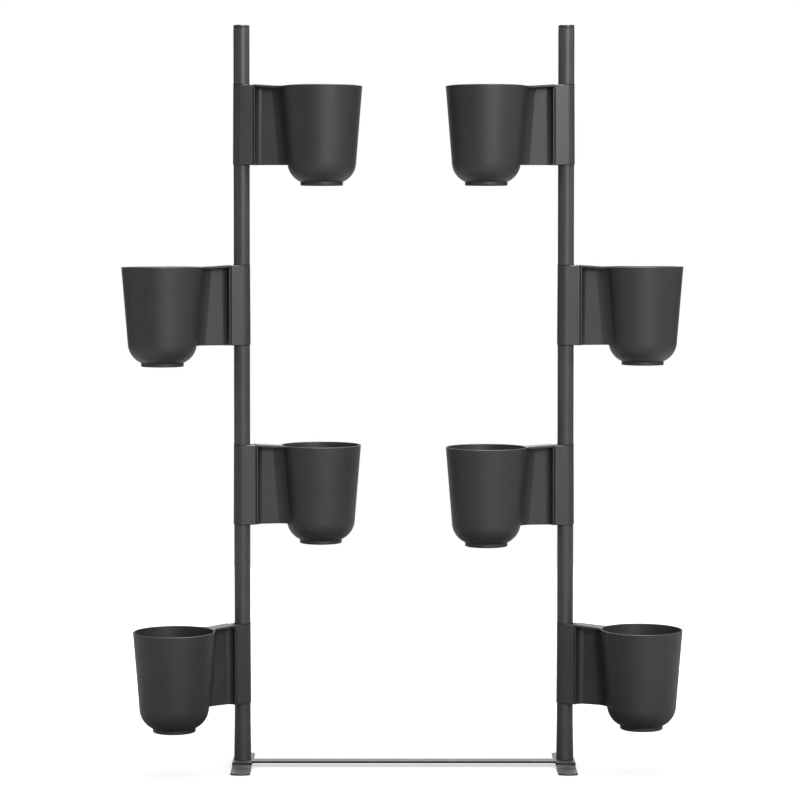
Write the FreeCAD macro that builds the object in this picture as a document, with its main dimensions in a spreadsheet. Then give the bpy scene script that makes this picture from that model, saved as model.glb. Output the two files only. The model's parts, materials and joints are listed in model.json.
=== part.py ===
"""Planter room divider: two poles on a low steel base, with eight pots on swivelling arms.

Millimetres, +Z up. The poles stand side by side along X and the front of the divider faces -Y.
The origin is on the floor, below the middle of the whole object.
"""

import FreeCAD, Part
import math
import os
import re

import Sketcher

# Driving dimensions, kept in the sheet under these names.
SIZES = {
    # Whole object
    "pole_spacing": 600.0,
    "pole_height": 1374.0,
    "first_sleeve": 116.5,
    "level_pitch": 333.0,
    # Base
    "foot_length": 208.0,
    "foot_width": 36.0,
    "foot_thickness": 3.0,
    "foot_rise": 3.6,
    "foot_pad": 60.0,
    "foot_ramp": 9.0,
    "foot_bow": 30.0,
    "foot_corner": 5.0,
    "foot_edge": 0.8,
    "bar_length": 636.0,
    "bar_width": 25.0,
    "bar_thickness": 4.0,
    "bar_edge": 0.6,
    "bar_offset": 8.0,
    "lug_length": 36.0,
    "lug_depth": 54.0,
    "lug_fillet": 4.0,
    "bolt_radius": 3.0,
    "bolt_play": 0.3,
    "bolt_head_radius": 6.0,
    "bolt_head_height": 3.0,
    "bolt_head_edge": 0.6,
    "bolt_socket": 4.0,
    "bolt_socket_depth": 1.8,
    "bolt_engagement": 20.0,
    "plug_height": 36.0,
    # Pole tubes
    "tube_radius": 15.0,
    "tube_wall": 1.5,
    "tube_edge": 0.8,
    "flare_height": 75.0,
    "flare_step": 0.9,
    "spigot_play": 0.1,
    "spigot_reach": 30.0,
    "cap_height": 6.4,
    "cap_edge": 2.2,
    "cap_wall": 2.0,
    "cap_skirt": 14.0,
    "cap_groove": 0.8,
    # Sleeves
    "sleeve_height": 148.0,
    "sleeve_top_radius": 15.4,
    "sleeve_bottom_radius": 16.1,
    "sleeve_face": 23.0,
    "sleeve_edge": 1.0,
    "sleeve_corner": 1.0,
    "running_play": 0.05,
    "slot_depth": 62.0,
    "slot_lip": 3.0,
    "slot_head_depth": 3.4,
    "slot_neck": 8.6,
    "slot_head": 14.6,
    "rail_play": 0.3,
    "rail_top_gap": 2.0,
    # Pots and their arms
    "pot_reach": 149.0,
    "rim_radius": 75.0,
    "rim_drop": 2.5,
    "rim_edge": 0.9,
    "pot_wall": 2.5,
    "wall_depth": 143.0,
    "wall_end_radius": 63.4,
    "bowl_radius": 40.0,
    "pot_height": 183.5,
    "floor_depth": 175.5,
    "ring_radius": 39.3,
    "ring_edge": 1.0,
    "ring_wall": 4.0,
    "ring_recess": 4.0,
    "seam_gap": 0.8,
    "plate_thickness": 3.0,
    "plate_flare_top": 11.5,
    "plate_flare_bottom": 9.0,
    "plate_flare_rise": 12.3,
    "plate_flare_radius": 13.4,
    "web_top": 2.4,
    "web_bottom": 2.0,
    "pot_flare_run": 17.0,
    "pot_flare_rise": 20.0,
    "pot_flare_radius": 34.0,
    "web_edge": 0.8,
    "web_bury": 6.0,
    "web_inset": 0.3,
    "join_overlap": 0.3,
    "flange_thickness": 4.0,
    "flange_lift": 0.8,
    "flange_edge": 0.5,
    "flange_half_width": 15.8,
    "flange_fillet": 20.0,
    "flange_bury": 10.0,
    # How far each pot swings towards the front, in degrees
    "swing_left_top": 5.0,
    "swing_left_upper": 14.0,
    "swing_left_lower": -13.0,
    "swing_left_bottom": 36.0,
    "swing_right_top": 6.0,
    "swing_right_upper": -12.0,
    "swing_right_lower": 8.0,
    "swing_right_bottom": 23.0,
}

# Sizes that follow from the driving ones.
DERIVED = {
    # The foremost and the rearmost pot set the depth, and the poles stand between them.
    "pole_plane": "pot_reach * (sin(swing_left_bottom) + sin(swing_left_lower)) / 2",
    "bar_underside": "foot_rise + foot_thickness",
    "bar_top": "bar_underside + bar_thickness",
    "bore_radius": "tube_radius - tube_wall",
    "spigot_radius": "bore_radius - spigot_play",
    "spigot_length": "sleeve_height + spigot_reach",
    "rim_level": "sleeve_height - rim_drop",
    "foot_level": "rim_level - pot_height",
    # The bowl is tangent to the tapered wall where the wall ends.
    "taper": "(rim_radius - wall_end_radius) / wall_depth",
    "taper_length": "sqrt(1 + taper ^ 2)",
    "bowl_centre_radius": "wall_end_radius - bowl_radius / taper_length",
    "bowl_centre_level": "rim_level - wall_depth + bowl_radius * taper / taper_length",
    "ring_top": "bowl_centre_level - sqrt(bowl_radius ^ 2 - (ring_radius - bowl_centre_radius) ^ 2)",
    "inner_bowl": "bowl_radius - pot_wall",
    "floor_level": "rim_level - floor_depth",
    "floor_radius": "bowl_centre_radius + sqrt(inner_bowl ^ 2 - (bowl_centre_level - floor_level) ^ 2)",
    "inner_wall_end": "wall_end_radius - pot_wall / taper_length",
    "inner_wall_level": "rim_level - wall_depth + pot_wall * taper / taper_length",
    "plate_face": "sleeve_face + seam_gap",
    "plate_back": "plate_face + plate_thickness",
    "slot_floor": "sleeve_height - slot_depth",
    "slot_lip_face": "sleeve_face - slot_lip",
    "web_top_level": "rim_level - web_inset",
    # The flange fillet meets the rim circle at the end of its arc.
    "flange_circle": "rim_radius - join_overlap",
    "flange_span": "flange_circle + flange_fillet",
    "flange_rise": "flange_half_width + flange_fillet",
    "flange_run": "sqrt(flange_span ^ 2 - flange_rise ^ 2)",
    "flange_tip_half": "flange_circle * flange_rise / flange_span",
    "flange_tip": "pot_reach - flange_circle * flange_run / flange_span",
    "flange_end": "pot_reach - rim_radius + flange_bury",
}

SIDES = {"left": -1, "right": 1}
LEVELS = ["bottom", "lower", "upper", "top"]
TUBES = ["base", "lower", "middle", "upper", "top"]

# Which way each pot points along X.
POINTS = {
    "left": {"bottom": -1, "lower": 1, "upper": -1, "top": 1},
    "right": {"bottom": 1, "lower": -1, "upper": 1, "top": -1},
}

# Two lengths closer than this are the same, in millimetres.
NEAR = 1e-6

# A face looks upwards if its unit normal rises by more than this.
UPWARD = 0.9

doc = FreeCAD.newDocument("PlanterDivider")
nodes = []


def fill_sheet():
    """Write every driving dimension to the sheet as a plain number with its name as alias."""
    sheet = doc.addObject("Spreadsheet::Sheet", "Sizes")
    for row, (name, size) in enumerate(SIZES.items(), start=1):
        cell = f"B{row}"
        sheet.set(f"A{row}", name)
        sheet.set(cell, str(size))
        sheet.setAlias(cell, name)
    doc.recompute()
    return sheet


def bind(expression):
    """Return an expression in which every size name is read from the sheet."""

    def read(match):
        word = match.group(0)
        if word in SIZES:
            return f"Sizes.{word}"
        if word in DERIVED:
            return f"({bind(DERIVED[word])})"
        return word

    return re.sub(r"[a-z]\w*", read, expression)


def number(expression):
    """Return the present value of an expression."""
    return float(sizes.evalExpression(bind(expression)))


def arc_between(begin, end, radius, turn):
    """Return the arc of under a half circle from begin to end, with turn +1 for anticlockwise."""
    chord = end - begin
    height = math.sqrt(max(radius**2 - (chord.Length / 2) ** 2, 0.0))
    left = FreeCAD.Vector(-chord.y, chord.x, 0).normalize()
    centre = (begin + end) * 0.5 + left * height * turn
    first, last = (begin, end) if turn > 0 else (end, begin)
    angles = [math.atan2(p.y - centre.y, p.x - centre.x) for p in (first, last)]
    circle = Part.Circle(centre, FreeCAD.Vector(0, 0, 1), radius)
    return Part.ArcOfCircle(circle, *angles)


def bind_constraint(sketch, kind, *places, size):
    """Add a dimension to a sketch and bind it to an expression."""
    index = sketch.addConstraint(Sketcher.Constraint(kind, *places, number(size)))
    sketch.setExpression(f"Constraints[{index}]", bind(size))


def draw_outline(sketch, outline):
    """Draw a closed outline and bind every vertex.

    Each vertex is (x, y), reached by a straight edge, or (x, y, radius, turn), reached by an arc.
    """
    points = [FreeCAD.Vector(number(v[0]), number(v[1]), 0) for v in outline]
    edges = []
    for index, vertex in enumerate(outline):
        begin, end = points[index - 1], points[index]
        if len(vertex) == 2:
            edges.append((sketch.addGeometry(Part.LineSegment(begin, end)), 1, 2))
            continue
        radius, turn = vertex[2:]
        edge = sketch.addGeometry(arc_between(begin, end, number(radius), turn))
        edges.append((edge, 1, 2) if turn > 0 else (edge, 2, 1))
        bind_constraint(sketch, "Radius", edge, size=radius)
    for index, vertex in enumerate(outline):
        edge, _, tail = edges[index]
        following, head, _ = edges[(index + 1) % len(edges)]
        sketch.addConstraint(Sketcher.Constraint("Coincident", edge, tail, following, head))
        bind_constraint(sketch, "DistanceX", -1, 1, edge, tail, size=vertex[0])
        bind_constraint(sketch, "DistanceY", -1, 1, edge, tail, size=vertex[1])


def draw_circle(sketch, x, y, radius):
    """Draw a circle with its centre and radius bound."""
    centre = FreeCAD.Vector(number(x), number(y), 0)
    circle = sketch.addGeometry(Part.Circle(centre, FreeCAD.Vector(0, 0, 1), number(radius)))
    bind_constraint(sketch, "DistanceX", -1, 1, circle, 3, size=x)
    bind_constraint(sketch, "DistanceY", -1, 1, circle, 3, size=y)
    bind_constraint(sketch, "Radius", circle, size=radius)


def mirrored(half):
    """Close a half outline, listed above the X axis, with its mirror image below it."""
    outline = list(half)
    for index in reversed(range(len(half))):
        x, y = half[index][:2]
        arc = half[index + 1][2:] if index + 1 < len(half) else ()
        if y != "0":
            outline.append((x, f"-({y})", *arc))
    return outline


def new_body(name):
    """Add an empty body."""
    return doc.addObject("PartDesign::Body", name)


def new_sketch(body, name, role, along=None, offset=None):
    """Add a sketch on one of the body's origin planes, moved along one of the sketch's own axes."""
    sketch = body.newObject("Sketcher::SketchObject", f"{body.Name}_{name}")
    plane = next(f for f in body.Origin.OriginFeatures if f.Role == role)
    sketch.AttachmentSupport = [(plane, "")]
    sketch.MapMode = "FlatFace"
    if along:
        sketch.setExpression(f"AttachmentOffset.Base.{along}", bind(offset))
    return sketch


def revolve(body, sketch, kind="Revolution"):
    """Turn a sketch about its own vertical axis, as added (Revolution) or cut (Groove) material."""
    feature = body.newObject(f"PartDesign::{kind}", f"{sketch.Name}_{kind}")
    feature.Profile = (sketch, [""])
    feature.ReferenceAxis = (sketch, ["V_Axis"])
    feature.Angle = 360
    return feature


def pad(body, sketch, length, symmetric=False):
    """Extrude a sketch."""
    feature = body.newObject("PartDesign::Pad", f"{sketch.Name}_Pad")
    feature.Profile = (sketch, [""])
    feature.SideType = "Symmetric" if symmetric else "One side"
    feature.setExpression("Length", bind(length))
    return feature


def pocket(body, sketch, depth=None):
    """Cut a sketch into the body, to a depth below the sketch or right through it both ways."""
    feature = body.newObject("PartDesign::Pocket", f"{sketch.Name}_Pocket")
    feature.Profile = (sketch, [""])
    if depth is None:
        feature.SideType = "Symmetric"
        feature.Type = "ThroughAll"
    else:
        feature.setExpression("Length", bind(depth))
    return feature


def ruled_loft(body, sections):
    """Join sketches at several heights by straight-sided walls."""
    feature = body.newObject("PartDesign::AdditiveLoft", f"{body.Name}_loft")
    feature.Profile = (sections[0], [""])
    feature.Sections = [(section, [""]) for section in sections[1:]]
    feature.Ruled = True
    return feature


def edge_treatment(body, kind, base, size, choose):
    """Round (Fillet) or bevel (Chamfer) the edges that are chosen from a feature's shape."""
    doc.recompute()
    chosen = choose(base.Shape)
    edges = enumerate(base.Shape.Edges, start=1)
    names = [f"Edge{i}" for i, edge in edges if any(edge.isSame(other) for other in chosen)]
    feature = body.newObject(f"PartDesign::{kind}", f"{base.Name}_{kind}")
    feature.Base = (base, names)
    feature.setExpression("Radius" if kind == "Fillet" else "Size", bind(size))
    return feature


def upright_edges(shape):
    """Return the straight edges that are parallel to Z."""
    return [e for e in shape.Edges if e.BoundBox.XLength < NEAR and e.BoundBox.YLength < NEAR]


def upper_edges(shape):
    """Return the edges that run round the upper side of a shape, without the bends across it."""
    upper_faces = [face for face in shape.Faces if face.normalAt(0, 0).z > UPWARD]
    edges = [edge for face in upper_faces for edge in face.Edges]
    return [edge for edge in edges if sum(edge.isSame(other) for other in edges) == 1]


def place_copy(master, label, x="0", y="pole_plane", z="0", turn="0"):
    """Put a copy of a master body in the assembly as a node of its own."""
    body = new_body(label)
    form = doc.addObject("PartDesign::FeatureBase", f"{label}_form")
    form.BaseFeature = master
    body.Group = [form]
    body.Tip = form
    return place(body, x, y, z, turn)


def place(body, x="0", y="pole_plane", z="0", turn="0"):
    """Give a body its bound place in the assembly and list it as a node."""
    for axis, distance in (("x", x), ("y", y), ("z", z)):
        body.setExpression(f"Placement.Base.{axis}", bind(distance))
    body.setExpression("Placement.Rotation.Angle", bind(turn))
    nodes.append(body)
    return body


def base_bar():
    """Flat crossbar that ties the two feet together, with a wider lug under each pole."""
    body = new_body("base_bar")
    sketch = new_sketch(body, "plan", "XY_Plane")
    end, root = "bar_length / 2", "(bar_length / 2 - lug_length)"
    side, lug_side = "bar_width / 2", "lug_depth / 2"
    draw_outline(sketch, mirrored([
        (f"-{end}", lug_side),
        (f"-{root}", lug_side),
        (f"-{root}", f"{side} + lug_fillet"),
        (f"lug_fillet - {root}", side, "lug_fillet", 1),
        (f"{root} - lug_fillet", side),
        (root, f"{side} + lug_fillet", "lug_fillet", 1),
        (root, lug_side),
        (end, lug_side),
    ]))
    blank = pad(body, sketch, "bar_thickness")
    edge_treatment(body, "Fillet", blank, "bar_edge", upper_edges)
    holes = new_sketch(body, "holes", "XY_Plane")
    for sign in SIDES.values():
        draw_circle(holes, f"{sign} * pole_spacing / 2", "bar_offset", "bolt_radius + bolt_play")
    pocket(body, holes)
    return place(body, y="pole_plane - bar_offset", z="bar_underside")


def foot():
    """Steel strip with bowed ends, bent up in the middle so that only its two pads touch the floor."""
    body = new_body("foot")
    side = new_sketch(body, "side", "YZ_Plane")
    end = "foot_length / 2"
    bend = f"{end} - foot_pad"
    crest = f"{bend} - foot_ramp"
    lower = [(end, "0"), (bend, "0"), (crest, "foot_rise")]
    upper = [(y, f"{z} + foot_thickness") for y, z in reversed(lower)]
    front = [(f"-({y})", z) for y, z in lower[::-1]]
    back = [(f"-({y})", z) for y, z in upper[::-1]]
    draw_outline(side, lower + front + back + upper)
    pad(body, side, "foot_width", symmetric=True)
    trim = new_sketch(body, "ends", "XY_Plane")
    across = "(foot_width / 2 + foot_edge)"
    brow = f"({end} - foot_bow + sqrt(foot_bow ^ 2 - {across} ^ 2))"
    for way in (1, -1):
        draw_outline(trim, [
            (across, f"{way} * {brow}", "foot_bow", -way),
            (across, f"{way} * ({end} + foot_edge)"),
            (f"-{across}", f"{way} * ({end} + foot_edge)"),
            (f"-{across}", f"{way} * {brow}"),
        ])
    bowed = pocket(body, trim)
    rounded = edge_treatment(body, "Fillet", bowed, "foot_corner", upright_edges)
    edge_treatment(body, "Fillet", rounded, "foot_edge", upper_edges)
    hole = new_sketch(body, "hole", "XY_Plane")
    draw_circle(hole, "0", "0", "bolt_radius + bolt_play")
    pocket(body, hole)
    return body


def base_bolts():
    """Two low-head bolts, which come up through the feet and the bar into the plugs."""
    body = new_body("base_bolts")
    profile = new_sketch(body, "profile", "XZ_Plane")
    crown = "-bolt_head_height"
    shank = "bolt_radius - running_play"
    tip = "foot_thickness + bar_thickness + bolt_engagement"
    draw_outline(profile, [
        ("0", crown),
        ("bolt_head_radius - bolt_head_edge", crown),
        ("bolt_head_radius", f"{crown} + bolt_head_edge"),
        ("bolt_head_radius", "0"),
        (shank, "0"),
        (shank, f"{tip} - bolt_head_edge"),
        (f"{shank} - bolt_head_edge", tip),
        ("0", tip),
    ])
    turned = revolve(body, profile)
    drive = new_sketch(body, "socket", "XY_Plane", "z", "bolt_socket_depth - bolt_head_height")
    flat, point = "bolt_socket / 2", "bolt_socket / sqrt(3)"
    hexagon = [(point, "0"), (f"{point} / 2", flat), (f"-{point} / 2", flat), (f"-{point}", "0")]
    draw_outline(drive, mirrored(hexagon))
    socket = pocket(body, drive, "bolt_socket_depth")
    pair = body.newObject("PartDesign::LinearPattern", "bolt_pair")
    pair.Originals = [turned, socket]
    pair.Direction = (profile, ["H_Axis"])
    pair.setExpression("Length", bind("pole_spacing"))
    pair.Occurrences = 2
    body.Tip = pair
    return place(body, x="-pole_spacing / 2", z="foot_rise")


def base_plug():
    """Threaded plug that fills the flared foot of the lowest tube."""
    body = new_body("base_plug")
    profile = new_sketch(body, "profile", "XZ_Plane")
    narrowing = "flare_step * plug_height / flare_height"
    draw_outline(profile, [
        ("bolt_radius", "0"),
        ("bore_radius + flare_step", "0"),
        (f"bore_radius + flare_step - {narrowing}", "plug_height"),
        ("bolt_radius", "plug_height"),
    ])
    revolve(body, profile)
    return body


def tube_outline(length, flared, drawn):
    """Return the half section of a pole tube that may flare at its foot and be drawn down at its top."""
    step = "flare_step" if flared else "0"
    foot = [
        (f"bore_radius + {step}", "0"),
        (f"tube_radius + {step} - tube_edge", "0"),
        (f"tube_radius + {step}", "tube_edge"),
    ]
    waist_outside = [("tube_radius", "flare_height")] if flared else []
    waist_inside = [("bore_radius", "flare_height")] if flared else []
    shoulder = [("tube_radius", f"{length} - tube_edge"), ("tube_radius - tube_edge", length)]
    if not drawn:
        return foot + waist_outside + shoulder + [("bore_radius", length)] + waist_inside
    top = f"{length} + spigot_length"
    inside = "spigot_radius - tube_wall"
    neck = [
        ("spigot_radius", length),
        ("spigot_radius", f"{top} - tube_edge"),
        ("spigot_radius - tube_edge", top),
        (inside, top),
        (inside, f"{length} - tube_wall"),
        ("bore_radius", f"{length} - 2 * tube_wall"),
    ]
    return foot + waist_outside + shoulder + neck + waist_inside


def tube(name, length, flared=False, drawn=True):
    """Round steel tube with an optional flared foot and drawn-down spigot."""
    body = new_body(name)
    profile = new_sketch(body, "profile", "XZ_Plane")
    draw_outline(profile, tube_outline(length, flared, drawn))
    revolve(body, profile)
    return body


def pole_cap():
    """Cap with a rounded edge, whose skirt goes into the top tube."""
    body = new_body("pole_cap")
    profile = new_sketch(body, "profile", "XZ_Plane")
    skirt = "bore_radius - running_play"
    inside = f"{skirt} - cap_wall"
    ceiling = "cap_height - cap_wall"
    draw_outline(profile, [
        ("0", ceiling),
        (inside, ceiling),
        (inside, "-cap_skirt"),
        (skirt, "-cap_skirt"),
        (skirt, "0"),
        ("tube_radius - cap_groove", "0"),
        ("tube_radius", "cap_groove"),
        ("tube_radius", "cap_height - cap_edge"),
        ("tube_radius - cap_edge", "cap_height", "cap_edge", 1),
        ("0", "cap_height"),
    ])
    revolve(body, profile)
    return body


def sleeve_section(radius, inset):
    """Return the outline of a sleeve: half round behind the pole, flat towards the pot."""
    reach = f"{radius} - {inset}"
    face = f"sleeve_face - {inset}"
    return mirrored([
        (face, f"{reach} - sleeve_corner"),
        (f"{face} - sleeve_corner", reach),
        ("0", reach),
        (f"-({reach})", "0", reach, 1),
    ])


def t_outline(lip, head, neck_half, head_half, end):
    """Return a T-shaped outline, with its head towards the pole and its neck towards the pot."""
    return mirrored([(end, neck_half), (lip, neck_half), (lip, head_half), (head, head_half)])


def sleeve():
    """Sleeve that turns on a spigot and holds a pot by a T-slot, open at the top."""
    body = new_body("sleeve")
    stations = [
        ("0", "sleeve_bottom_radius", "sleeve_edge"),
        ("sleeve_edge", "sleeve_bottom_radius", "0"),
        ("sleeve_height - sleeve_edge", "sleeve_top_radius", "0"),
        ("sleeve_height", "sleeve_top_radius", "sleeve_edge"),
    ]
    sections = []
    for index, (level, radius, inset) in enumerate(stations):
        section = new_sketch(body, f"section_{index}", "XY_Plane", "z", level)
        draw_outline(section, sleeve_section(radius, inset))
        sections.append(section)
    ruled_loft(body, sections)
    bore = new_sketch(body, "bore", "XY_Plane")
    draw_circle(bore, "0", "0", "spigot_radius + running_play")
    pocket(body, bore)
    slot = new_sketch(body, "slot", "XY_Plane", "z", "sleeve_height")
    head = "slot_lip_face - slot_head_depth"
    draw_outline(slot, t_outline("slot_lip_face", head, "slot_neck / 2", "slot_head / 2", "plate_back"))
    pocket(body, slot, "slot_depth")
    return body


def web_section(plate_half, web_half, flare_run, depth, inset):
    """Return the outline of an arm at one level: end plate, and thin web with flared, creased ends."""
    circle = f"(rim_radius - taper * ({depth}) - join_overlap)"
    root = f"sqrt({circle} ^ 2 - pot_flare_rise ^ 2)"
    half = [
        (f"plate_face + {inset}", f"{plate_half} - sleeve_corner - {inset}"),
        (f"plate_face + sleeve_corner + {inset}", f"{plate_half} - {inset}"),
        (f"plate_back - {inset}", f"{plate_half} - {inset}"),
        (f"plate_back - {inset}", f"{web_half} + plate_flare_rise"),
        (f"plate_back + {flare_run}", f"{web_half} - {inset}", f"plate_flare_radius + {inset}", 1),
        (f"pot_reach - {circle} - pot_flare_run", f"{web_half} - {inset}"),
    ]
    for reach, arc in ((inset, (f"pot_flare_radius + {inset}", 1)), ("web_bury", ())):
        share = f"(1 - ({reach}) / {circle})"
        half.append((f"pot_reach - {root} * {share}", f"pot_flare_rise * {share}", *arc))
    return mirrored(half)


def pot_arm(body):
    """Web and end plate, drawn as three sections so that the lower edges are bevelled."""
    stations = [
        ("0", "sleeve_bottom_radius", "web_bottom", "plate_flare_bottom", "web_edge"),
        ("web_edge", "sleeve_bottom_radius", "web_bottom", "plate_flare_bottom", "0"),
        ("web_top_level", "sleeve_top_radius", "web_top", "plate_flare_top", "0"),
    ]
    sections = []
    for index, (level, plate_half, web_half, flare_run, inset) in enumerate(stations):
        depth = f"rim_level - ({level})"
        section = new_sketch(body, f"arm_{index}", "XY_Plane", "z", level)
        draw_outline(section, web_section(plate_half, web_half, flare_run, depth, inset))
        sections.append(section)
    return ruled_loft(body, sections)


def pot_flange(body):
    """Thin top of the arm, which slopes down from the sleeve to the rim and flares into it."""
    side = new_sketch(body, "flange_side", "XZ_Plane")
    rim_edge = "pot_reach - rim_radius"
    crest = "sleeve_height + flange_lift"
    draw_outline(side, [
        ("plate_face", crest),
        (rim_edge, "rim_level"),
        ("flange_end", "rim_level"),
        ("flange_end", "rim_level - flange_thickness"),
        (rim_edge, "rim_level - flange_thickness"),
        ("plate_face", f"{crest} - flange_thickness"),
    ][::-1])
    pad(body, side, "2 * flange_tip_half", symmetric=True)
    plan = new_sketch(body, "flange_plan", "XY_Plane")
    outside = "2 * flange_tip_half"
    half = [
        ("0", "flange_half_width"),
        ("pot_reach - flange_run", "flange_half_width"),
        ("flange_tip", "flange_tip_half", "flange_fillet", 1),
        ("flange_tip", outside),
        ("0", outside),
    ]
    draw_outline(plan, half)
    far = [(x, f"-({y})", *([arc[0], -1] if arc else [])) for x, y, *arc in half]
    draw_outline(plan, far)
    trimmed = pocket(body, plan)
    edge_treatment(body, "Chamfer", trimmed, "flange_edge", upper_edges)


def pot_outside(body):
    """Tapered wall, bowl and foot ring, still filled."""
    profile = new_sketch(body, "outside", "XZ_Plane", "x", "pot_reach")
    ring_inside = "ring_radius - ring_wall"
    draw_outline(profile, [
        ("0", "foot_level + ring_recess"),
        (ring_inside, "foot_level + ring_recess"),
        (ring_inside, "foot_level"),
        ("ring_radius - ring_edge", "foot_level"),
        ("ring_radius", "foot_level + ring_edge"),
        ("ring_radius", "ring_top"),
        ("wall_end_radius", "rim_level - wall_depth", "bowl_radius", 1),
        ("rim_radius", "rim_level - rim_edge"),
        ("rim_radius - rim_edge", "rim_level"),
        ("0", "rim_level"),
    ])
    revolve(body, profile)


def pot_cavity(body):
    """Room for the plant, cut out of the pot and of what the arm leaves inside it."""
    profile = new_sketch(body, "cavity", "XZ_Plane", "x", "pot_reach")
    mouth = "rim_radius - pot_wall"
    above = "rim_level + pot_wall"
    draw_outline(profile, [
        ("0", "floor_level"),
        ("floor_radius", "floor_level"),
        ("inner_wall_end", "inner_wall_level", "inner_bowl", 1),
        (mouth, "rim_level - rim_edge"),
        (f"{mouth} + rim_edge", "rim_level"),
        (f"{mouth} + rim_edge", above),
        ("0", above),
    ])
    revolve(body, profile, "Groove")


def pot_rail(body):
    """T-rail behind the end plate, which hangs in the slot of the sleeve."""
    section = new_sketch(body, "rail", "XY_Plane", "z", "slot_floor")
    lip = "slot_lip_face - rail_play"
    head = "slot_lip_face - slot_head_depth + rail_play"
    inside = "plate_face + plate_thickness / 2"
    draw_outline(
        section,
        t_outline(lip, head, "slot_neck / 2 - rail_play", "slot_head / 2 - rail_play", inside),
    )
    pad(body, section, "slot_depth - rail_top_gap")


def pot():
    """Pot, arm and rail in one moulding."""
    body = new_body("pot")
    pot_flange(body)
    pot_outside(body)
    pot_arm(body)
    pot_rail(body)
    pot_cavity(body)
    return body


def assemble():
    """Model each master once and place its copies."""
    base_bar()
    base_bolts()
    foot_form, plug_form, cap_form = foot(), base_plug(), pole_cap()
    gap = "level_pitch - sleeve_height"
    last_sleeve = f"first_sleeve + {len(LEVELS) - 1} * level_pitch"
    top_length = f"pole_height - cap_height - ({last_sleeve} + sleeve_height)"
    base_form = tube("base_tube", "first_sleeve - bar_top", flared=True)
    middle_form = tube("middle_tube", gap)
    top_form = tube("top_tube", top_length, drawn=False)
    tube_forms = [base_form, middle_form, middle_form, middle_form, top_form]
    sleeve_form, pot_form = sleeve(), pot()
    for side, sign in SIDES.items():
        x = f"{sign} * pole_spacing / 2"
        place_copy(foot_form, f"foot_{side}", x)
        place_copy(plug_form, f"base_plug_{side}", x, z="bar_top")
        for index, (name, form) in enumerate(zip(TUBES, tube_forms)):
            seat = f"first_sleeve + sleeve_height + {index - 1} * level_pitch" if index else "bar_top"
            place_copy(form, f"tube_{side}_{name}", x, z=seat)
        place_copy(cap_form, f"cap_{side}", x, z="pole_height - cap_height")
        for index, level in enumerate(LEVELS):
            swing = f"swing_{side}_{level}"
            turn = f"-{swing}" if POINTS[side][level] > 0 else f"180 + {swing}"
            seat = f"first_sleeve + {index} * level_pitch"
            place_copy(sleeve_form, f"sleeve_{side}_{level}", x, z=seat, turn=turn)
            place_copy(pot_form, f"pot_{side}_{level}", x, z=seat, turn=turn)


def check_document():
    """Stop if any object failed, any cut removed nothing, or any node is not sound."""
    for item in doc.Objects:
        if {"Invalid", "Error"} & set(item.State):
            raise RuntimeError(f"{item.Label} failed: {item.State}")
        if item.TypeId in ("PartDesign::Pocket", "PartDesign::Groove"):
            if item.Shape.Volume > item.BaseFeature.Shape.Volume - NEAR:
                raise RuntimeError(f"{item.Label} cuts nothing")
    for body in nodes:
        shape = body.Shape
        solids = 2 if body.Label == "base_bolts" else 1
        if shape.isNull() or not shape.isValid() or len(shape.Solids) != solids:
            raise RuntimeError(f"{body.Label} is not sound")


def write_parts():
    """Write each node to its own file."""
    os.makedirs("parts", exist_ok=True)
    for body in nodes:
        body.Shape.exportStep(f"parts/{body.Label}.step")


sizes = fill_sheet()
assemble()
doc.recompute()
check_document()
write_parts()
print(f"{len(nodes)} parts, the poles stand at y = {number('pole_plane'):.2f} mm")
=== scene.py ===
"""Looks of a planter room divider: finishes, small trim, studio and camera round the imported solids.

Metres, +Z up. The front of the divider faces -Y, and its two poles stand side by side along X.
"""

from __future__ import annotations

import json
import logging
import math
from dataclasses import dataclass, field, replace
from enum import Enum

import bmesh
import bpy
from mathutils import Euler, Matrix, Vector


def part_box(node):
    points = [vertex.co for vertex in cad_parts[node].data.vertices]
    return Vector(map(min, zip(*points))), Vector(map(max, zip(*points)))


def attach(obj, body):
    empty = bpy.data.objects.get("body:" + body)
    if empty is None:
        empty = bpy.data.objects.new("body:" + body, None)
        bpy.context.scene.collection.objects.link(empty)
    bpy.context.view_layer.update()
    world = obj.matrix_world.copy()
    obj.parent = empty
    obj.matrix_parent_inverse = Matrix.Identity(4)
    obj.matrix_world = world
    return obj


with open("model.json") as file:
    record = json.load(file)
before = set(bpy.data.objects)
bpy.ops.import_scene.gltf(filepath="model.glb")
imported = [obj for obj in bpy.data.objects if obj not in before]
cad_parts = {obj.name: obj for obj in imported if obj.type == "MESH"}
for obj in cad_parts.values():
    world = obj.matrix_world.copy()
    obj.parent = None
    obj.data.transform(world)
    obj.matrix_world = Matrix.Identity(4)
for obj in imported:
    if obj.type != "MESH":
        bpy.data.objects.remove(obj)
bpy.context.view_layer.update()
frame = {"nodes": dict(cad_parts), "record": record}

LOG = logging.getLogger("planter_divider")
MM = 0.001
OPAQUE = 1.0
WHITE = (1.0, 1.0, 1.0, OPAQUE)
NONE_TO_FULL = (0.0, 1.0)
FULL_TO_NONE = (1.0, 0.0)
ROUND_SEGMENTS = 2

Colour = tuple[float, float, float]
Point = tuple[float, float, float]
Range = tuple[float, float]
Socket = bpy.types.NodeSocket


class Slot(Enum):
    """Material slots of the record."""

    POT = "pot_plastic"
    SLEEVE = "sleeve_plastic"
    CAP = "cap_plastic"
    COAT = "coated_steel"
    FASTENER = "fastener_steel"


class Side(Enum):
    """The two poles."""

    LEFT = "left"
    RIGHT = "right"


class Level(Enum):
    """The four heights at which a pole carries a pot."""

    BOTTOM = "bottom"
    LOWER = "lower"
    UPPER = "upper"
    TOP = "top"


class Carries(Enum):
    """What a socket of a shader group carries."""

    NUMBER = "NodeSocketFloat"
    DIRECTION = "NodeSocketVector"


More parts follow.
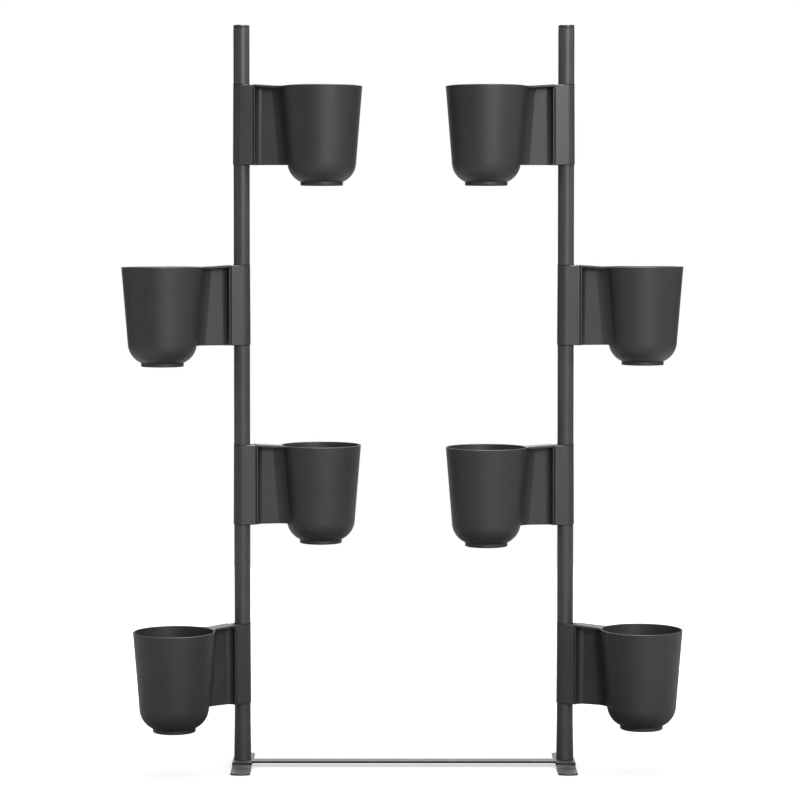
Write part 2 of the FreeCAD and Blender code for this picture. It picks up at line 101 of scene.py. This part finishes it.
class NodeSheet:
    """Adds nodes to one node tree and links them.

    The Mix node has sockets for each kind of value. Its colours come in and go out at the places named here.
    """

    mix_first: int = 6
    mix_second: int = 7
    mix_result: int = 2

    def __init__(self, tree: bpy.types.NodeTree) -> None:
        """Keep the tree.

        Args:
            tree: Node tree of a material, a world or a group.
        """
        self.tree = tree

    def add(self, kind: str, **settings: object) -> bpy.types.Node:
        """Add a node.

        Args:
            kind: Type name without the common prefix, such as "TexNoise".
            settings: Node properties, or values for its inputs by input name with spaces as underscores.

        Returns:
            The new node.
        """
        node = self.tree.nodes.new(f"ShaderNode{kind}")
        for name, value in settings.items():
            if hasattr(node, name):
                setattr(node, name, value)
            else:
                node.inputs[name.replace("_", " ")].default_value = value
        return node

    def link(self, source: Socket, target: Socket) -> None:
        """Link an output to an input."""
        self.tree.links.new(source, target)

    def feed(self, value: Socket | Colour | float, target: Socket) -> None:
        """Link an output to an input, or set the input to a fixed value.

        Args:
            value: Output, colour or number.
            target: Input that takes it.
        """
        if isinstance(value, Socket):
            self.link(value, target)
        elif isinstance(value, tuple):
            target.default_value = (*value, OPAQUE)
        else:
            target.default_value = value

    def math(self, operation: str, first: Socket | float, second: Socket | float = 0.0) -> Socket:
        """Work out one value from one or two.

        Args:
            operation: Name of the operation of the Math node.
            first: Socket or number.
            second: Socket or number, where the operation takes two.

        Returns:
            The result's socket.
        """
        node = self.add("Math", operation=operation)
        self.feed(first, node.inputs[0])
        self.feed(second, node.inputs[1])
        return node.outputs[0]

    def remap(self, source: Socket, old: Range, new: Range) -> Socket:
        """Stretch a range of values to another, clamped.

        Args:
            source: Socket with the value.
            old: Range that comes in.
            new: Range that goes out.

        Returns:
            The result's socket.
        """
        node = self.add("MapRange", From_Min=old[0], From_Max=old[1], To_Min=new[0], To_Max=new[1])
        self.link(source, node.inputs["Value"])
        return node.outputs["Result"]

    def blend(self, share: Socket, first: Socket | Colour, second: Socket | Colour) -> Socket:
        """Mix two colours.

        Args:
            share: Socket with the share of the second colour.
            first: Socket or colour.
            second: Socket or colour.

        Returns:
            The mixed colour's socket.
        """
        node = self.add("Mix", data_type="RGBA")
        self.link(share, node.inputs[0])
        self.feed(first, node.inputs[self.mix_first])
        self.feed(second, node.inputs[self.mix_second])
        return node.outputs[self.mix_result]


GroupParts = tuple[NodeSheet, bpy.types.Node, bpy.types.Node]


@dataclass
class SharedEffects:
    """Shader groups that every finish uses, each built once.

    A contrast is the range of a raw pattern that is stretched to a full mask.
    """

    grain_contrast: Range = (0.05, 0.45)
    mottle_contrast: Range = (0.3, 0.7)
    streak_contrast: Range = (0.55, 0.75)
    streak_stretch: Point = (1.0, 1.0, 0.1)
    corner_contrast: Range = (0.01, 0.18)
    corner_samples: int = 6
    patch_contrast: Range = (0.35, 0.65)
    patch_wear_and_highlight: Range = (0.25, 1.0)
    hollow_shade_contrast: Range = (0.45, 0.85)
    hollow_shade_samples: int = 8
    grain: bpy.types.NodeTree = field(init=False)
    edges: bpy.types.NodeTree = field(init=False)
    shaded_hollows: bpy.types.NodeTree = field(init=False)

    def __post_init__(self) -> None:
        """Build the groups."""
        self.grain = self._grain()
        self.edges = self._edges()
        self.shaded_hollows = self._shaded_hollows()

    @staticmethod
    def _group(name: str, inputs: tuple[str, ...], outputs: dict[str, Carries]) -> GroupParts:
        """Start a group.

        Args:
            name: Name of the group.
            inputs: Names of its number inputs.
            outputs: What its outputs carry, by name.

        Returns:
            The group's sheet, its input node and its output node.
        """
        tree = bpy.data.node_groups.new(name, "ShaderNodeTree")
        for title in inputs:
            tree.interface.new_socket(title, in_out="INPUT", socket_type=Carries.NUMBER.value)
        for title, carries in outputs.items():
            tree.interface.new_socket(title, in_out="OUTPUT", socket_type=carries.value)
        return NodeSheet(tree), tree.nodes.new("NodeGroupInput"), tree.nodes.new("NodeGroupOutput")

    def _grain(self) -> bpy.types.NodeTree:
        """Build the fine texture of a mould or a coat, with slow mottling and faint rubbed streaks.

        Returns:
            The group.
        """
        sheet, start, end = self._group(
            "surface_grain",
            ("Grain Scale", "Mottle Scale", "Streak Scale"),
            {"Grain": Carries.NUMBER, "Mottle": Carries.NUMBER, "Streak": Carries.NUMBER},
        )
        place = sheet.add("TexCoord").outputs["Object"]
        fine = sheet.add("TexNoise", Detail=2.0, Roughness=0.55)
        cells = sheet.add("TexVoronoi", feature="SMOOTH_F1", Smoothness=0.6)
        for node in (fine, cells):
            sheet.link(place, node.inputs["Vector"])
            sheet.link(start.outputs["Grain Scale"], node.inputs["Scale"])
        grain = sheet.math("MULTIPLY", fine.outputs["Fac"], cells.outputs["Distance"])
        sheet.link(sheet.remap(grain, self.grain_contrast, NONE_TO_FULL), end.inputs["Grain"])
        slow = sheet.add("TexNoise", Detail=3.0, Roughness=0.5)
        sheet.link(place, slow.inputs["Vector"])
        sheet.link(start.outputs["Mottle Scale"], slow.inputs["Scale"])
        mottle = sheet.remap(slow.outputs["Fac"], self.mottle_contrast, NONE_TO_FULL)
        sheet.link(mottle, end.inputs["Mottle"])
        drawn = sheet.add("Mapping", vector_type="POINT", Scale=self.streak_stretch)
        rub = sheet.add("TexNoise", Detail=4.0, Roughness=0.6)
        sheet.link(place, drawn.inputs["Vector"])
        sheet.link(drawn.outputs["Vector"], rub.inputs["Vector"])
        sheet.link(start.outputs["Streak Scale"], rub.inputs["Scale"])
        streak = sheet.remap(rub.outputs["Fac"], self.streak_contrast, NONE_TO_FULL)
        sheet.link(streak, end.inputs["Streak"])
        return sheet.tree

    def _edges(self) -> bpy.types.NodeTree:
        """Build the mask and the softened normal of corners. The mask lightens the colour there, part rubbed
        wear and part painted highlight, and the softened normal lets corners catch light.

        Returns:
            The group.
        """
        sheet, start, end = self._group(
            "soft_edges",
            ("Width", "Break Scale"),
            {"Wear And Highlight": Carries.NUMBER, "Normal": Carries.DIRECTION},
        )
        rounded = sheet.add("Bevel", samples=self.corner_samples)
        sheet.link(start.outputs["Width"], rounded.inputs["Radius"])
        sharp = sheet.add("NewGeometry").outputs["Normal"]
        agree = sheet.add("VectorMath", operation="DOT_PRODUCT")
        sheet.link(rounded.outputs["Normal"], agree.inputs[0])
        sheet.link(sharp, agree.inputs[1])
        turned = sheet.math("SUBTRACT", 1.0, agree.outputs["Value"])
        corner = sheet.remap(turned, self.corner_contrast, NONE_TO_FULL)
        patches = sheet.add("TexNoise", Detail=3.0)
        sheet.link(sheet.add("TexCoord").outputs["Object"], patches.inputs["Vector"])
        sheet.link(start.outputs["Break Scale"], patches.inputs["Scale"])
        broken = sheet.remap(patches.outputs["Fac"], self.patch_contrast, self.patch_wear_and_highlight)
        sheet.link(sheet.math("MULTIPLY", corner, broken), end.inputs["Wear And Highlight"])
        sheet.link(rounded.outputs["Normal"], end.inputs["Normal"])
        return sheet.tree

    def _shaded_hollows(self) -> bpy.types.NodeTree:
        """Build the mask of grooves and inside corners, which take a painted shade in place of any lighter
        corner colour.

        Returns:
            The group.
        """
        sheet, start, end = self._group("painted_hollow_shade", ("Reach",), {"Hollow Shade": Carries.NUMBER})
        covered = sheet.add("AmbientOcclusion", samples=self.hollow_shade_samples, only_local=True)
        sheet.link(start.outputs["Reach"], covered.inputs["Distance"])
        hollow_shade = sheet.remap(covered.outputs["AO"], self.hollow_shade_contrast, FULL_TO_NONE)
        sheet.link(hollow_shade, end.inputs["Hollow Shade"])
        return sheet.tree


@dataclass(frozen=True)
class Finish:
    """A finish, with its colours, gloss and texture.

    Scales are patterns to a metre, and lengths are in metres. Flat steel has a painted shade on its upright
    faces, and the lean of that shade says how far upwards a face may point before it fades and ends.
    """

    name: str
    dark: Colour
    light: Colour
    # Lighter colour of corners, part rubbed wear and part painted highlight.
    edge_wear_and_highlight: Colour
    # Darker colour of grooves and inside corners, a painted shade.
    hollow_shade: Colour
    roughness: Range
    grain_scale: float
    grain_depth: float
    grain_strength: float = 0.35
    mottle_scale: float = 22.0
    streak_scale: float = 70.0
    break_scale: float = 140.0
    gloss_swing: Range = (-0.5, 2.0)
    edge_width: float = 0.7 * MM
    hollow_shade_reach: float = 60.0 * MM
    metallic: float = 0.0
    ior: float = 1.5
    # Dark colour of upright faces, a painted shade.
    upright_shade: Colour | None = None
    upright_shade_lean: Range = (0.3, 0.7)

    def material(self, effects: SharedEffects) -> bpy.types.Material:
        """Build the material.

        Args:
            effects: Shared shader groups.

        Returns:
            The material, which has the finish's name.
        """
        material = bpy.data.materials.new(self.name)
        material.use_nodes = True
        sheet = NodeSheet(material.node_tree)
        shader = material.node_tree.nodes["Principled BSDF"]
        shader.inputs["Metallic"].default_value = self.metallic
        shader.inputs["IOR"].default_value = self.ior
        grain = sheet.add("Group", node_tree=effects.grain, Grain_Scale=self.grain_scale,
                          Mottle_Scale=self.mottle_scale, Streak_Scale=self.streak_scale)
        edges = sheet.add("Group", node_tree=effects.edges, Width=self.edge_width,
                          Break_Scale=self.break_scale)
        shaded_hollows = sheet.add("Group", node_tree=effects.shaded_hollows, Reach=self.hollow_shade_reach)
        body = sheet.blend(grain.outputs["Mottle"], self.dark, self.light)
        # Corners take a lighter colour, part rubbed wear and part painted highlight.
        worn_and_highlit_body = sheet.blend(edges.outputs["Wear And Highlight"], body, self.edge_wear_and_highlight)
        # Grooves and inside corners take a darker colour, a painted shade.
        colour = sheet.blend(shaded_hollows.outputs["Hollow Shade"], worn_and_highlit_body, self.hollow_shade)
        # Upright faces of flat steel take a dark colour, a painted shade.
        if self.upright_shade:
            colour = sheet.blend(self._upright_shade_mask(sheet), colour, self.upright_shade)
        sheet.link(colour, shader.inputs["Base Color"])
        uneven = sheet.math("ADD", grain.outputs["Mottle"], grain.outputs["Grain"])
        rubbed = sheet.math("SUBTRACT", uneven, grain.outputs["Streak"])
        sheet.link(sheet.remap(rubbed, self.gloss_swing, self.roughness), shader.inputs["Roughness"])
        bump = sheet.add("Bump", Strength=self.grain_strength, Distance=self.grain_depth)
        sheet.link(grain.outputs["Grain"], bump.inputs["Height"])
        sheet.link(edges.outputs["Normal"], bump.inputs["Normal"])
        sheet.link(bump.outputs["Normal"], shader.inputs["Normal"])
        return material

    def _upright_shade_mask(self, sheet: NodeSheet) -> Socket:
        """Mark the upright faces of flat steel, which take a painted shade.

        Args:
            sheet: Sheet of the material.

        Returns:
            Socket that is 1 on upright faces.
        """
        facing = sheet.add("SeparateXYZ")
        sheet.link(sheet.add("NewGeometry").outputs["Normal"], facing.inputs[0])
        upwards = sheet.math("ABSOLUTE", facing.outputs["Z"])
        return sheet.remap(upwards, self.upright_shade_lean, FULL_TO_NONE)


POT_PLASTIC = Finish(
    name=Slot.POT.value,
    dark=(0.018, 0.018, 0.019),
    light=(0.022, 0.022, 0.023),
    # The pot's corners are far lighter than its body, mostly a painted highlight on rims and creases.
    edge_wear_and_highlight=(0.058, 0.058, 0.059),
    hollow_shade=(0.005, 0.005, 0.005),
    roughness=(0.46, 0.56),
    grain_scale=2200.0,
    grain_depth=0.05 * MM,
    edge_width=1.1 * MM,
)
SLEEVE_PLASTIC = Finish(
    name=Slot.SLEEVE.value,
    dark=(0.024, 0.024, 0.025),
    light=(0.029, 0.029, 0.030),
    edge_wear_and_highlight=(0.032, 0.032, 0.033),
    hollow_shade=(0.012, 0.012, 0.012),
    roughness=(0.36, 0.50),
    grain_scale=2400.0,
    grain_depth=0.04 * MM,
    edge_width=0.15 * MM,
)
CAP_PLASTIC = Finish(
    name=Slot.CAP.value,
    dark=(0.022, 0.022, 0.023),
    light=(0.027, 0.027, 0.028),
    edge_wear_and_highlight=(0.034, 0.034, 0.035),
    hollow_shade=(0.012, 0.012, 0.012),
    roughness=(0.34, 0.46),
    grain_scale=2400.0,
    grain_depth=0.04 * MM,
    edge_width=0.3 * MM,
)
# A very dark ring colour that paints the shade of the seam at the top of each sleeve.
SEAM_SHADE_NYLON = Finish(
    name="seam_shade_nylon",
    dark=(0.009, 0.009, 0.009),
    light=(0.012, 0.012, 0.012),
    edge_wear_and_highlight=(0.016, 0.016, 0.016),
    hollow_shade=(0.006, 0.006, 0.006),
    roughness=(0.52, 0.66),
    grain_scale=3000.0,
    grain_depth=0.02 * MM,
    edge_width=0.1 * MM,
)
COATED_STEEL = Finish(
    name=Slot.COAT.value,
    dark=(0.035, 0.035, 0.036),
    light=(0.041, 0.041, 0.042),
    edge_wear_and_highlight=(0.050, 0.050, 0.051),
    hollow_shade=(0.018, 0.018, 0.019),
    roughness=(0.37, 0.46),
    grain_scale=620.0,
    grain_depth=0.06 * MM,
    grain_strength=0.25,
    mottle_scale=30.0,
    streak_scale=110.0,
    edge_width=0.3 * MM,
)
STRIP_STEEL = replace(
    COATED_STEEL,
    name="strip_steel",
    edge_wear_and_highlight=(0.042, 0.042, 0.043),
    # Flat steel paints its upright faces dark, a painted shade.
    upright_shade=(0.008, 0.008, 0.008),
)
FASTENER_STEEL = Finish(
    name=Slot.FASTENER.value,
    dark=(0.46, 0.46, 0.47),
    light=(0.56, 0.56, 0.57),
    edge_wear_and_highlight=(0.70, 0.70, 0.70),
    hollow_shade=(0.30, 0.30, 0.31),
    roughness=(0.26, 0.42),
    grain_scale=1600.0,
    grain_depth=0.02 * MM,
    streak_scale=400.0,
    metallic=1.0,
)
FINISHES = (
    POT_PLASTIC,
    SLEEVE_PLASTIC,
    CAP_PLASTIC,
    SEAM_SHADE_NYLON,
    COATED_STEEL,
    STRIP_STEEL,
    FASTENER_STEEL,
)


class PaintShop:
    """Holds the material of each finish."""

    def __init__(self) -> None:
        """Build the shared groups and every finish."""
        effects = SharedEffects()
        self.materials = {finish.name: finish.material(effects) for finish in FINISHES}

    def dress(self, piece: bpy.types.Object, finish: Finish) -> None:
        """Give a piece its finish.

        Args:
            piece: Object to dress.
            finish: Finish that it takes.
        """
        piece.data.materials.clear()
        piece.data.materials.append(self.materials[finish.name])
        LOG.info("%s takes %s", piece.name, finish.name)


def add_piece(name: str, shape: bmesh.types.BMesh, smooth: bool = True) -> bpy.types.Object:
    """Turn a finished bmesh into an object of the scene.

    Args:
        name: Name of the piece.
        shape: Bmesh in the frame's own place, which is freed.
        smooth: Whether its faces are shaded smooth.

    Returns:
        The new object.
    """
    mesh = bpy.data.meshes.new(name)
    shape.to_mesh(mesh)
    shape.free()
    for face in mesh.polygons:
        face.use_smooth = smooth
    piece = bpy.data.objects.new(name, mesh)
    bpy.context.scene.collection.objects.link(piece)
    return piece


@dataclass
class Stand:
    """Base, tubes and caps, which stay still, told apart by how their names start."""

    fixings: tuple[str, ...] = ("base_bolts", "base_plug")
    caps: tuple[str, ...] = ("cap",)
    strips: tuple[str, ...] = ("base_bar", "foot")

    def finish_of(self, name: str) -> Finish:
        """Choose the finish of a fixed node.

        Args:
            name: Name of the node.

        Returns:
            The finish.
        """
        if name.startswith(self.fixings):
            return FASTENER_STEEL
        if name.startswith(self.caps):
            return CAP_PLASTIC
        if name.startswith(self.strips):
            return STRIP_STEEL
        return COATED_STEEL

    def dress(self, shop: PaintShop) -> None:
        """Give every fixed node its finish.

        Args:
            shop: Holder of the materials.
        """
        for name in frame["record"]["behaviour"]["bodies"]["stand"]:
            shop.dress(frame["nodes"][name], self.finish_of(name))


@dataclass
class Planter:
    """One pot with its sleeve, at one level of one pole, and the sizes of their small trim."""

    side: Side
    level: Level
    gate_radius: float = 2.2 * MM
    gate_height: float = 0.9 * MM
    gate_round: float = 0.3 * MM
    gate_steps: int = 40
    skirt_radius: float = 5.0 * MM
    skirt_height: float = 0.3 * MM
    ring_recess: float = 4.0 * MM
    glide_bore: float = 15.05 * MM
    glide_wall: float = 0.4 * MM
    glide_height: float = 1.8 * MM
    glide_round: float = 0.12 * MM
    glide_steps: int = 64

    @property
    def place(self) -> str:
        """Side and level, as the nodes' names give them."""
        return f"{self.side.value}_{self.level.value}"

    @property
    def axis(self) -> Vector:
        """Find the pot's own axis.

        Returns:
            The middle of the pot's room for a plant.
        """
        rooms = {room["name"]: room["box_m"] for room in frame["record"]["physics"]["openings"]}
        low, high = rooms[f"inside_pot_{self.place}"]
        return (Vector(low) + Vector(high)) / 2

    def dress(self, shop: PaintShop) -> None:
        """Give the pot and the sleeve their finish.

        Args:
            shop: Holder of the materials.
        """
        shop.dress(frame["nodes"][f"pot_{self.place}"], POT_PLASTIC)
        shop.dress(frame["nodes"][f"sleeve_{self.place}"], SLEEVE_PLASTIC)

    def build_gate(self, shop: PaintShop) -> bpy.types.Object:
        """Model the trimmed stub that the mould leaves in the middle of the underside.

        Args:
            shop: Holder of the materials.

        Returns:
            The piece, which rides on the pot.
        """
        pot_low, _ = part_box(f"pot_{self.place}")
        underside = Vector((self.axis.x, self.axis.y, pot_low.z + self.ring_recess))
        shape = bmesh.new()
        bmesh.ops.create_circle(shape, cap_ends=True, segments=self.gate_steps, radius=self.skirt_radius)
        disc = shape.faces[:]
        bmesh.ops.inset_region(shape, faces=disc, use_boundary=True, use_even_offset=True,
                               thickness=self.skirt_radius - self.gate_radius, depth=self.skirt_height)
        stub = bmesh.ops.extrude_discrete_faces(shape, faces=disc)["faces"]
        bmesh.ops.translate(shape, vec=(0, 0, self.gate_height), verts=stub[0].verts[:])
        bmesh.ops.bevel(shape, geom=stub[0].edges[:], offset=self.gate_round, affect="EDGES",
                        segments=ROUND_SEGMENTS, profile=0.5, material=-1)
        rim = [edge for edge in shape.edges if edge.is_boundary]
        bmesh.ops.holes_fill(shape, edges=rim, sides=self.gate_steps)
        upside_down = Matrix.Rotation(math.pi, 3, "X")
        bmesh.ops.rotate(shape, cent=(0, 0, 0), matrix=upside_down, verts=shape.verts[:])
        bmesh.ops.translate(shape, vec=underside, verts=shape.verts[:])
        bmesh.ops.recalc_face_normals(shape, faces=shape.faces[:])
        piece = add_piece(f"gate_mark_{self.place}", shape)
        shop.dress(piece, POT_PLASTIC)
        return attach(piece, f"pot_{self.place}")

    def build_seam_shade_ring(self, shop: PaintShop) -> bpy.types.Object:
        """Model the thin ring that lies on the sleeve, round the foot of the tube above, whose very dark
        colour paints the shade of the seam there.

        Args:
            shop: Holder of the materials.

        Returns:
            The piece, which rides on the sleeve.
        """
        tube_low, tube_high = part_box(f"tube_{self.side.value}_base")
        _, sleeve_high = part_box(f"sleeve_{self.place}")
        middle = (Vector(tube_low) + Vector(tube_high)) / 2
        inner, outer = self.glide_bore, self.glide_bore + self.glide_wall
        outline = ((inner, 0.0), (outer, 0.0), (outer, self.glide_height), (inner, self.glide_height))
        shape = bmesh.new()
        corners = [shape.verts.new((radius, 0.0, height)) for radius, height in outline]
        shape.faces.new(corners)
        bmesh.ops.bevel(shape, geom=corners, offset=self.glide_round, affect="VERTICES",
                        segments=ROUND_SEGMENTS, profile=0.5, material=-1)
        bmesh.ops.delete(shape, geom=shape.faces[:], context="FACES_ONLY")
        bmesh.ops.spin(shape, geom=shape.verts[:] + shape.edges[:], cent=(0, 0, 0), axis=(0, 0, 1),
                       angle=math.tau, steps=self.glide_steps, use_merge=True)
        bmesh.ops.recalc_face_normals(shape, faces=shape.faces[:])
        bmesh.ops.translate(shape, vec=(middle.x, middle.y, sleeve_high.z), verts=shape.verts[:])
        piece = add_piece(f"seam_shade_ring_{self.place}", shape)
        shop.dress(piece, SEAM_SHADE_NYLON)
        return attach(piece, f"sleeve_{self.place}")


@dataclass(frozen=True)
class Lamp:
    """Soft rectangular studio lamp, with its size in metres and its power in watts."""

    name: str
    place: Point
    aim: Point
    size: tuple[float, float]
    power: float

    def build(self) -> bpy.types.Object:
        """Hang the lamp and turn it to its aim.

        Returns:
            The lamp's object.
        """
        light = bpy.data.lights.new(self.name, "AREA")
        light.shape = "RECTANGLE"
        light.size, light.size_y = self.size
        light.energy = self.power
        lamp = bpy.data.objects.new(self.name, light)
        lamp.location = self.place
        way = Vector(self.aim) - Vector(self.place)
        lamp.rotation_euler = way.to_track_quat("-Z", "Y").to_euler()
        lamp.visible_camera = False
        bpy.context.scene.collection.objects.link(lamp)
        return lamp


LAMPS = (
    Lamp(name="key", place=(1.55, -3.8, 2.9), aim=(0.0, 0.0, 0.75), size=(1.2, 2.3), power=205.0),
    Lamp(name="top", place=(0.2, 0.2, 3.6), aim=(0.0, 0.0, 0.0), size=(2.0, 2.0), power=255.0),
    Lamp(name="back", place=(0.0, 3.0, 2.8), aim=(0.0, 0.0, 0.7), size=(2.4, 1.4), power=60.0),
    Lamp(name="low_card", place=(0.3, -3.2, 0.25), aim=(0.0, 0.0, 1.0), size=(2.4, 0.5), power=10.0),
    Lamp(name="right_card", place=(2.2, -0.4, 1.25), aim=(0.0, -0.4, 1.25), size=(2.4, 1.4), power=7.5),
    Lamp(name="left_card", place=(-2.2, -0.4, 1.0), aim=(0.0, -0.4, 1.0), size=(2.4, 1.4), power=6.0),
)


@dataclass
class Studio:
    """White floor and surroundings, soft lamps and the camera.

    A fade is a range of distances from the middle of the floor, and a lift is the strength of its white at
    the ends of that range. The backdrop's half width and front are parts of a direction. Sizes that end in
    px are pixels of the photograph.
    """

    floor_half: float = 3.0
    floor_near: Colour = (0.10, 0.10, 0.10)
    floor_far: Colour = (0.35, 0.35, 0.35)
    floor_lift: Range = (0.84, 1.0)
    floor_fade: Range = (0.35, 1.2)
    mirrored_lift: Range = (0.0, 0.4)
    mirrored_fade: Range = (0.5, 1.2)
    contact_reach: float = 0.07
    contact_samples: int = 12
    contact_open: Range = (0.25, 0.85)
    contact_shade: Range = (0.7, 1.0)
    room_strength: float = 0.05
    backdrop_strength: float = 1.0
    backdrop_half: Range = (0.4, 0.65)
    backdrop_front: Range = (0.0, 0.1)
    focal_px: float = 2700.0
    image_px: float = 800.0
    centre_px: tuple[float, float] = (385.0, 325.3)
    image_middle: float = 0.5
    sensor: float = 36.0
    camera_place: Point = (-0.0349, -4.9738, 0.9939)
    camera_tilt: float = math.radians(2.0)
    camera_reach: float = 200.0
    lamps: tuple[Lamp, ...] = LAMPS

    def build(self) -> None:
        """Set up the floor, the light and the camera."""
        self.build_floor()
        self.build_world()
        for lamp in self.lamps:
            lamp.build()
        self.build_camera()
        bpy.context.scene.view_settings.view_transform = "Standard"

    @staticmethod
    def _seen_rays(sheet: NodeSheet) -> tuple[Socket, Socket]:
        """Tell apart the rays that show the background.

        Args:
            sheet: Sheet of the material or the world.

        Returns:
            Sockets that are 1 for rays from the camera, and for mirrored or refracted rays.
        """
        path = sheet.add("LightPath")
        shown = sheet.math("MAXIMUM", path.outputs["Is Glossy Ray"], path.outputs["Is Transmission Ray"])
        return path.outputs["Is Camera Ray"], shown

    def build_floor(self) -> bpy.types.Object:
        """Lay a plain white floor that keeps the lamps' shadows, with a painted contact shadow in its white
        glow.

        Returns:
            The floor.
        """
        shape = bmesh.new()
        bmesh.ops.create_grid(shape, x_segments=1, y_segments=1, size=self.floor_half)
        floor = add_piece("floor", shape, smooth=False)
        material = bpy.data.materials.new("floor_white")
        material.use_nodes = True
        sheet = NodeSheet(material.node_tree)
        material.node_tree.nodes.remove(material.node_tree.nodes["Principled BSDF"])
        matte = sheet.add("BsdfDiffuse")
        glow = sheet.add("Emission", Color=WHITE)
        seen, shown = self._seen_rays(sheet)
        away = sheet.add("VectorMath", operation="LENGTH")
        sheet.link(sheet.add("TexCoord").outputs["Object"], away.inputs[0])
        outwards = sheet.remap(away.outputs["Value"], self.floor_fade, NONE_TO_FULL)
        # The matte colour is darker near the middle, which dims the light bounced up there, a painted shade
        # under the object.
        sheet.link(sheet.blend(outwards, self.floor_near, self.floor_far), matte.inputs["Color"])
        lift = sheet.remap(outwards, NONE_TO_FULL, self.floor_lift)
        # The white glow dims where nearby parts cover the floor, a painted contact shadow.
        covered = sheet.add("AmbientOcclusion", samples=self.contact_samples, Distance=self.contact_reach)
        shade = sheet.remap(covered.outputs["AO"], self.contact_open, self.contact_shade)
        # In reflections the floor's white glow fades out near the middle, a painted shade under the object.
        mirrored = sheet.remap(away.outputs["Value"], self.mirrored_fade, self.mirrored_lift)
        seen_glow = sheet.math("MULTIPLY", seen, sheet.math("MULTIPLY", lift, shade))
        shown_glow = sheet.math("MULTIPLY", shown, mirrored)
        sheet.link(sheet.math("ADD", seen_glow, shown_glow), glow.inputs["Strength"])
        both = sheet.add("AddShader")
        sheet.link(matte.outputs[0], both.inputs[0])
        sheet.link(glow.outputs[0], both.inputs[1])
        sheet.link(both.outputs[0], material.node_tree.nodes["Material Output"].inputs["Surface"])
        floor.data.materials.append(material)
        return floor

    def build_world(self) -> None:
        """Make the surroundings white where they are seen, with a dimmer room in front of the backdrop."""
        world = bpy.data.worlds.new("surroundings")
        world.use_nodes = True
        bpy.context.scene.world = world
        sheet = NodeSheet(world.node_tree)
        sky = world.node_tree.nodes["Background"]
        sky.inputs["Color"].default_value = WHITE
        seen, shown = self._seen_rays(sheet)
        way = sheet.add("SeparateXYZ")
        sheet.link(sheet.add("TexCoord").outputs["Generated"], way.inputs[0])
        sideways = sheet.math("ABSOLUTE", way.outputs["X"])
        across = sheet.remap(sideways, self.backdrop_half, FULL_TO_NONE)
        behind = sheet.remap(way.outputs["Y"], self.backdrop_front, NONE_TO_FULL)
        paper = sheet.math("MULTIPLY", across, behind)
        share = sheet.math("MAXIMUM", seen, sheet.math("MULTIPLY", shown, paper))
        strength = sheet.remap(share, NONE_TO_FULL, (self.room_strength, self.backdrop_strength))
        sheet.link(strength, sky.inputs["Strength"])

    def build_camera(self) -> bpy.types.Object:
        """Stand the camera at the photograph's angle.

        Returns:
            The camera.
        """
        lens = bpy.data.cameras.new("camera")
        lens.sensor_width = self.sensor
        lens.lens = self.focal_px / self.image_px * self.sensor
        lens.shift_x = self.image_middle - self.centre_px[0] / self.image_px
        lens.shift_y = self.centre_px[1] / self.image_px - self.image_middle
        lens.clip_end = self.camera_reach
        camera = bpy.data.objects.new("camera", lens)
        camera.location = self.camera_place
        camera.rotation_euler = Euler((math.pi / 2 - self.camera_tilt, 0.0, 0.0))
        bpy.context.scene.collection.objects.link(camera)
        bpy.context.scene.camera = camera
        return camera


def main() -> None:
    """Dress the stand and the planters, add the trim, and set up the studio."""
    logging.basicConfig(level=logging.INFO, format="%(message)s")
    shop = PaintShop()
    Stand().dress(shop)
    for side in Side:
        for level in Level:
            planter = Planter(side, level)
            planter.dress(shop)
            for trim in (planter.build_gate(shop), planter.build_seam_shade_ring(shop)):
                LOG.info("%s is in place", trim.name)
    Studio().build()


if __name__ == "__main__":
    main()
